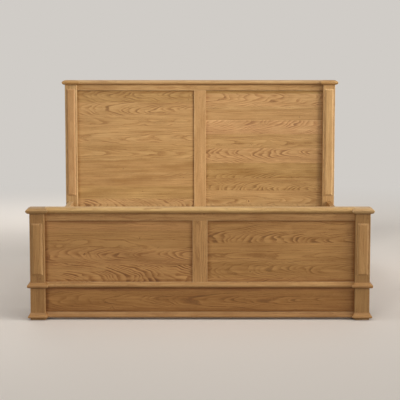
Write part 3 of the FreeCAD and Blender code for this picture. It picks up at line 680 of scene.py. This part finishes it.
# Soft boxes: place, the point it looks at, width, height, power
SOFT_BOXES = {
    "ceiling": ((0.0, -1.3, 2.2), (0.0, -1.29, 0.0), 3.2, 0.5, 13.0),
    "rear": ((-2.0, 5.0, 3.0), (0.0, 1.0, 0.6), 3.0, 2.0, 60.0),
}


def seen_ray(finish):
    """1 for what the camera sees directly, in a reflection or through glass."""
    path = finish.node("ShaderNodeLightPath")
    return (path[CAMERA_RAY] + path[GLOSSY_RAY] + path[TRANSMISSION_RAY]).least(1.0)


def floor():
    mesh = bpy.data.meshes.new("floor")
    half = FLOOR_SIZE / 2
    corners = [(-half, -half, 0), (half, -half, 0), (half, half, 0), (-half, half, 0)]
    mesh.from_pydata(corners, [], [(0, 1, 2, 3)])
    plane = bpy.data.objects.new("floor", mesh)
    bpy.context.scene.collection.objects.link(plane)
    finish = Finish("pale_floor")
    x, y, _ = finish.place()
    far = (x * x + y * y).root().step(FLOOR_FADE_START, FLOOR_FADE_END)
    seen = seen_ray(finish)
    colour = finish.blend(seen, FLOOR_BOUNCE_COLOUR, FLOOR_COLOUR)
    matt = finish.node("ShaderNodeBsdfPrincipled", {"Base Color": colour, "Roughness": FLOOR_ROUGHNESS})[0]
    glow = finish.node("ShaderNodeEmission", {"Color": BACKGROUND_COLOUR})[0]
    mixed = finish.node("ShaderNodeMixShader", [far * seen, matt, glow])[0]
    finish.tree.links.new(mixed.socket, finish.output.inputs["Surface"])
    mesh.materials.append(finish.material)


def world():
    made = bpy.data.worlds.new("studio")
    bpy.context.scene.world = made
    made.use_nodes = True
    tree = made.node_tree
    tree.nodes.clear()
    path = tree.nodes.new("ShaderNodeLightPath")
    mix = tree.nodes.new("ShaderNodeMixShader")
    ambient = tree.nodes.new("ShaderNodeBackground")
    ambient.inputs["Color"].default_value = AMBIENT_COLOUR
    ambient.inputs["Strength"].default_value = AMBIENT_STRENGTH
    backdrop = tree.nodes.new("ShaderNodeBackground")
    backdrop.inputs["Color"].default_value = BACKGROUND_COLOUR
    output = tree.nodes.new("ShaderNodeOutputWorld")
    both = tree.nodes.new("ShaderNodeMath")
    both.operation = "MAXIMUM"
    tree.links.new(path.outputs["Is Camera Ray"], both.inputs[0])
    tree.links.new(path.outputs["Is Glossy Ray"], both.inputs[1])
    tree.links.new(both.outputs[0], mix.inputs[0])
    tree.links.new(ambient.outputs[0], mix.inputs[1])
    tree.links.new(backdrop.outputs[0], mix.inputs[2])
    tree.links.new(mix.outputs[0], output.inputs["Surface"])


def aimed(place, target):
    return (Vector(target) - Vector(place)).to_track_quat("-Z", "Y").to_euler()


def window(name, side, height, angle, strength):
    light = bpy.data.lights.new(name, "SUN")
    light.energy = strength
    light.angle = math.radians(angle)
    made = bpy.data.objects.new(name, light)
    made.rotation_euler = (math.radians(90 - height), 0.0, math.radians(side))
    bpy.context.scene.collection.objects.link(made)


def headboard_spot():
    light = bpy.data.lights.new("headboard_spot", "SPOT")
    light.energy = SPOT_POWER
    light.spot_size = math.radians(SPOT_CONE)
    light.spot_blend = SPOT_EDGE
    light.shadow_soft_size = SPOT_RADIUS
    made = bpy.data.objects.new("headboard_spot", light)
    made.location = SPOT_PLACE
    made.rotation_euler = aimed(SPOT_PLACE, SPOT_TARGET)
    made.visible_glossy = False
    bpy.context.scene.collection.objects.link(made)


def soft_box(name, place, target, width, height, power):
    light = bpy.data.lights.new(name, "AREA")
    light.shape = "RECTANGLE"
    light.size = width
    light.size_y = height
    light.energy = power
    made = bpy.data.objects.new(name, light)
    made.location = place
    made.rotation_euler = aimed(place, target)
    made.visible_camera = False
    made.visible_glossy = False
    bpy.context.scene.collection.objects.link(made)


def camera():
    made = bpy.data.objects.new("camera", bpy.data.cameras.new("camera"))
    made.data.lens = CAMERA_LENS
    made.data.sensor_fit = "HORIZONTAL"
    made.data.sensor_width = SENSOR_WIDTH
    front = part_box("foot_post_left")[0].y
    made.location = (0.0, front - CAMERA_DISTANCE, CAMERA_HEIGHT)
    made.rotation_euler = (math.radians(90 - CAMERA_PITCH), 0.0, 0.0)
    bpy.context.scene.collection.objects.link(made)
    bpy.context.scene.camera = made


floor()
world()
for window_name, settings in WINDOWS.items():
    window(window_name, *settings)
headboard_spot()
for box_name, settings in SOFT_BOXES.items():
    soft_box(box_name, *settings)
camera()
bpy.context.scene.view_settings.view_transform = "Standard"
